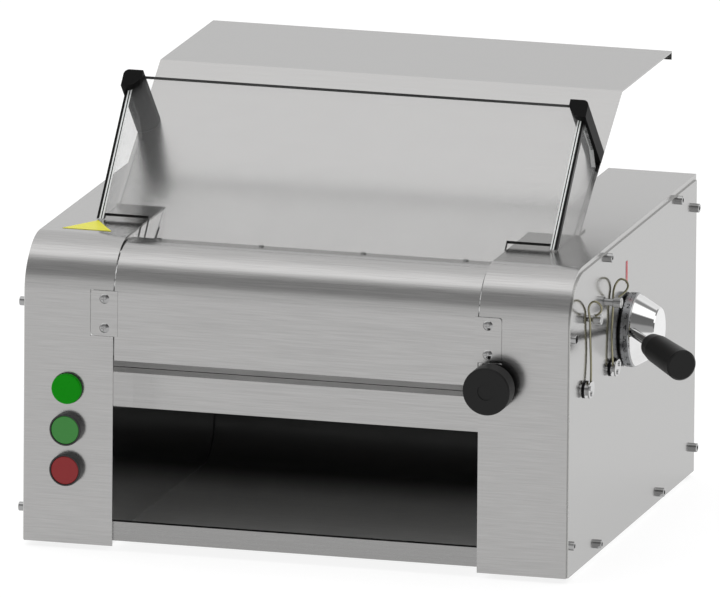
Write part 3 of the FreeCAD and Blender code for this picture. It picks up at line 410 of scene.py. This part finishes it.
def add_screen_strips():
    """Thin strips of painted dark reflection and painted highlight down both edges of the leaning
    screen, where it meets the wings.
    """
    polygons = NODES["guard_screen"].data.polygons
    front = max((face for face in polygons if face.normal.y < -FACING and face.normal.z > FACING),
                key=lambda face: face.area)
    out, base = front.normal.copy(), front.center.copy()
    up = out.cross(Vector((1, 0, 0)))
    screen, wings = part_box("guard_screen"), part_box("guard_wings")
    low = (wings[0][2] - base.z) / up.z + STRIP_END
    high = (screen[1][2] - base.z) / up.z - STRIP_END
    half = screen[1][0]
    rungs = ((low, STRIP_CORNER), (low + STRIP_CORNER, 0.0), (high - STRIP_CORNER, 0.0),
             (high, STRIP_CORNER))
    for side, which in SIDES:
        for name, start, end, look in STRIPS:
            loops = []
            for along, inset in rungs:
                corners = ((start + inset, LIFT), (end - inset, LIFT),
                           (end - inset, LIFT + STRIP_T), (start + inset, LIFT + STRIP_T))
                loops.append([Vector((side * (half - across), base.y, base.z)) + up * along + out * lift
                              for across, lift in corners])
            bm = bmesh.new()
            skin(bm, loops)
            add_piece("screen_strip_%s_%s" % (name, which), bm, look, "guard")


DIAL_LOW, DIAL_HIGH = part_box("thickness_dial")
DIAL_R = (DIAL_HIGH[2] - DIAL_LOW[2]) / 2
DIAL_Y = (DIAL_HIGH[1] + DIAL_LOW[1]) / 2
DIAL_Z = (DIAL_HIGH[2] + DIAL_LOW[2]) / 2
NUMBER_STEP = 18.0            # degrees between the dial's numbers
NUMBER_START = 87.0           # the zero's angle above the front
NUMBER_SHIFT = 0.0007         # numbers stand this far off the rim's middle, away from the ticks
TOP_NUMBER = 11
NUMBER_SIZE = 0.0074
TICK_HALF = 0.45              # degrees
TICKS = ((0.0, 0.0015), (0.5, 0.0009))     # (place between two numbers, length)
TICK_MARGIN = 0.0002
INK_T = 0.00004               # thickness of the numbers and ticks
WELD = 0.000001


def on_dial(x, angle, lift):
    """Point a lift off the dial's rim; the angle is in degrees above its front."""
    a = math.radians(angle)
    reach = DIAL_R + lift
    return Vector((x, DIAL_Y - reach * math.cos(a), DIAL_Z + reach * math.sin(a)))


def add_digits(bm, number):
    """Thin solid number about the origin; returns its vertices."""
    text = bpy.data.curves.new("digits", "FONT")
    text.body = str(number)
    text.align_x = "CENTER"
    text.align_y = "CENTER"
    text.size = NUMBER_SIZE
    text.extrude = INK_T / 2
    carrier = bpy.data.objects.new("digits", text)
    bpy.context.collection.objects.link(carrier)
    graph = bpy.context.evaluated_depsgraph_get()
    glyph = bpy.data.meshes.new_from_object(carrier.evaluated_get(graph))
    bpy.data.objects.remove(carrier)
    bpy.data.curves.remove(text)
    solid = bmesh.new()
    solid.from_mesh(glyph)
    bmesh.ops.remove_doubles(solid, verts=solid.verts[:], dist=WELD)
    solid.to_mesh(glyph)
    solid.free()
    start = len(bm.verts)
    bm.from_mesh(glyph)
    bpy.data.meshes.remove(glyph)
    bm.verts.ensure_lookup_table()
    return bm.verts[start:]


def add_dial_numbers():
    """Numbers round the dial, read from the front, with ticks beside and between them."""
    middle = (DIAL_LOW[0] + DIAL_HIGH[0]) / 2 + NUMBER_SHIFT
    edge = DIAL_LOW[0] + TICK_MARGIN
    bm = bmesh.new()
    for number in range(TOP_NUMBER + 1):
        angle = NUMBER_START - NUMBER_STEP * number
        for vert in add_digits(bm, number):
            x, y, z = vert.co
            vert.co = on_dial(middle + x, angle + math.degrees(y / DIAL_R), LIFT + INK_T / 2 + z)
        for part, length in TICKS:
            centre = angle - NUMBER_STEP * part
            corners = ((edge, -TICK_HALF), (edge, TICK_HALF), (edge + length, TICK_HALF),
                       (edge + length, -TICK_HALF))
            skin(bm, [[on_dial(x, centre + turn, lift) for x, turn in corners]
                      for lift in (LIFT, LIFT + INK_T)])
    add_piece("dial_numbers", bm, "ink_and_painted_shade", "dial")


PEG_OFFSET = (-0.0486, -0.0181)            # from the dial's axis along Y and Z
# (distance from the panel, radius)
PEG_PROFILE = ((0.0, 0.0026), (0.0008, 0.0026), (0.001, 0.002), (0.0026, 0.002), (0.0032, 0.0014))
PEG_STEPS = 20


def add_stop_peg():
    """Small black peg beside the dial, near the rear clip's lug."""
    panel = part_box("right_side_panel")[1][0] + LIFT
    bm = bmesh.new()
    turns = [2 * math.pi * k / PEG_STEPS for k in range(PEG_STEPS)]
    skin(bm, [[(panel + out, DIAL_Y + PEG_OFFSET[0] + radius * math.cos(a),
                DIAL_Z + PEG_OFFSET[1] + radius * math.sin(a)) for a in turns]
              for out, radius in PEG_PROFILE])
    add_piece("clip_stop_peg", bm, "black", "housing")


SLIDE_LOW, SLIDE_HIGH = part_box("outlet_slide")
SLIDE_T = 0.0015
SLIDE_BEND_R = 0.0385         # inside radius of the slide's bend
SEAM = (0.0009, 0.0012)       # seam's reach from the wall and up from the slide
SEAM_START = 0.001            # behind the slide's front edge
BEND_STEPS = 8


def add_slide_seams():
    """Seams that close the narrow gap between the slide's edges and both walls."""
    floor = SLIDE_LOW[2] + SLIDE_T
    back = SLIDE_HIGH[1] - SLIDE_T
    centre_y, centre_z = back - SLIDE_BEND_R, floor + SLIDE_BEND_R
    path = [((SLIDE_LOW[1] + SEAM_START, floor), (0.0, 1.0))]
    for k in range(BEND_STEPS + 1):
        a = math.pi / 2 * k / BEND_STEPS
        ny, nz = -math.sin(a), math.cos(a)
        path.append(((centre_y - SLIDE_BEND_R * ny, centre_z - SLIDE_BEND_R * nz), (ny, nz)))
    path.append(((back, SLIDE_HIGH[2]), (-1.0, 0.0)))
    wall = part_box("right_frame_plate")[0][0] - LIFT
    section = ((0.0, LIFT), (SEAM[0], LIFT), (0.0, SEAM[1]))
    for side, which in SIDES:
        bm = bmesh.new()
        skin(bm, [[(side * (wall - across), y + ny * rise, z + nz * rise) for across, rise in section]
                  for (y, z), (ny, nz) in path])
        add_piece("slide_seam_" + which, bm, "slide", "housing")


# ---------------------------------------------------------------- camera, light, floor

CAMERA_TURN = 15.48           # degrees to the operator's right
CAMERA_RISE = 12.95           # degrees above the horizon
CAMERA_ROLL = 0.455           # degrees
CAMERA_RANGE = 23.878
CAMERA_AIM = (0.0607, 0.2392)              # across and up from the point below
CAMERA_CENTRE = (0.0, -0.2275, 0.005)      # middle of the body's lower front edge
LENS = 1300.0                 # millimetres, as the sensor
SENSOR = 36.0
CLIP_RANGE = (1.0, 100.0)

# Brightness round the studio: (degrees from the front horizon over the top to the back one, strength)
STUDIO = ((0, 0.95), (17, 0.93), (29, 0.45), (56, 0.42), (70, 1.1), (76, 1.75), (86, 1.6), (98, 1.45),
          (112, 1.15), (150, 0.95), (180, 0.9))
STUDIO_RIGHT = ((0, 0.9), (7, 0.42), (33, 0.38), (41, 0.18), (74, 0.16), (80, 1.5), (112, 1.5),
                (118, 0.3), (145, 0.35), (160, 0.9), (180, 0.9))
RIGHT_EDGE = (0.30, 0.36)     # sideways part of a direction where the right-hand bands take over
MIX_FIRST, MIX_SECOND, MIX_RESULT = 6, 7, 2     # colour sockets of a Mix node

FLOOR_REACH = 30.0
FLOOR_GRAIN = (3.0, 3.0, 3.0)
FLOOR_GREYS = (0.24, 0.26)
FLOOR_GLOW = 0.84


def add_camera():
    """Distant camera in front of the machine, slightly to its right and above it."""
    turn, rise, roll = (math.radians(v) for v in (CAMERA_TURN, CAMERA_RISE, CAMERA_ROLL))
    right = Vector((math.cos(turn), math.sin(turn), 0))
    up = Vector((-math.sin(turn) * math.sin(rise), math.cos(turn) * math.sin(rise), math.cos(rise)))
    back = right.cross(up)
    right, up = (right * math.cos(roll) + up * math.sin(roll),
                 up * math.cos(roll) - right * math.sin(roll))
    place = right * CAMERA_AIM[0] + up * CAMERA_AIM[1] + back * CAMERA_RANGE + Vector(CAMERA_CENTRE)
    data = bpy.data.cameras.new("camera")
    data.sensor_width = SENSOR
    data.lens = LENS
    data.clip_start, data.clip_end = CLIP_RANGE
    camera = bpy.data.objects.new("camera", data)
    camera.matrix_world = Matrix.Translation(place) @ Matrix((right, up, back)).transposed().to_4x4()
    bpy.context.collection.objects.link(camera)
    bpy.context.scene.camera = camera


def studio_bands(tree, share, bands, brightest):
    """Ramp round the studio, as fractions of its brightest band."""
    node = tree.nodes.new("ShaderNodeValToRGB")
    tree.links.new(share, node.inputs["Fac"])
    elements = node.color_ramp.elements
    while len(elements) < len(bands):
        elements.new(0.5)
    for element, (degrees, strength) in zip(elements, bands):
        element.position = degrees / 180
        element.color = (*(strength / brightest,) * 3, 1.0)
    return node.outputs["Color"]


def math_node(tree, operation, first, second):
    """Math node whose inputs are sockets or plain numbers."""
    node = tree.nodes.new("ShaderNodeMath")
    node.operation = operation
    for socket, value in zip(node.inputs, (first, second)):
        if isinstance(value, float):
            socket.default_value = value
        else:
            tree.links.new(value, socket)
    return node.outputs["Value"]


def world_light():
    """Pale studio with a dark band above the front and a bright strip overhead."""
    world = bpy.data.worlds.new("studio")
    bpy.context.scene.world = world
    world.use_nodes = True
    tree = world.node_tree
    coords = tree.nodes.new("ShaderNodeTexCoord")
    split = tree.nodes.new("ShaderNodeSeparateXYZ")
    tree.links.new(coords.outputs["Generated"], split.inputs["Vector"])
    forward = math_node(tree, "MULTIPLY", split.outputs["Y"], -1.0)
    angle = math_node(tree, "ARCTAN2", split.outputs["Z"], forward)
    share = math_node(tree, "DIVIDE", angle, math.pi)
    side = tree.nodes.new("ShaderNodeMapRange")
    side.inputs["From Min"].default_value, side.inputs["From Max"].default_value = RIGHT_EDGE
    tree.links.new(split.outputs["X"], side.inputs["Value"])
    blend = tree.nodes.new("ShaderNodeMix")
    blend.data_type = "RGBA"
    tree.links.new(side.outputs["Result"], blend.inputs["Factor"])
    brightest = max(strength for degrees, strength in STUDIO)
    for socket, bands in ((MIX_FIRST, STUDIO), (MIX_SECOND, STUDIO_RIGHT)):
        tree.links.new(studio_bands(tree, share, bands, brightest), blend.inputs[socket])
    background = tree.nodes["Background"]
    tree.links.new(blend.outputs[MIX_RESULT], background.inputs["Color"])
    background.inputs["Strength"].default_value = brightest


def add_floor():
    """Wide pale floor that glows, so that it fades into the background."""
    mesh = bpy.data.meshes.new("floor")
    corners = ((-1, -1), (1, -1), (1, 1), (-1, 1))
    mesh.from_pydata([(x * FLOOR_REACH, y * FLOOR_REACH, 0) for x, y in corners], [], [(0, 1, 2, 3)])
    floor = bpy.data.objects.new("floor", mesh)
    bpy.context.collection.objects.link(floor)
    material, tree, shader = new_material("floor")
    tree.links.new(ramp(tree, grain(tree, FLOOR_GRAIN), *FLOOR_GREYS), shader.inputs["Base Color"])
    shader.inputs["Emission Color"].default_value = (1.0, 1.0, 1.0, 1.0)
    shader.inputs["Emission Strength"].default_value = FLOOR_GLOW
    shader.inputs["Roughness"].default_value = 1.0
    shader.inputs["Specular IOR Level"].default_value = 0.0
    mesh.materials.append(material)


dress_nodes()
for node, look, chosen in SECOND_LOOKS:
    paint_faces(node, look, chosen)
add_screen_strips()
add_dial_numbers()
add_stop_peg()
add_slide_seams()
add_camera()
world_light()
add_floor()

bpy.context.scene.view_settings.view_transform = "Standard"
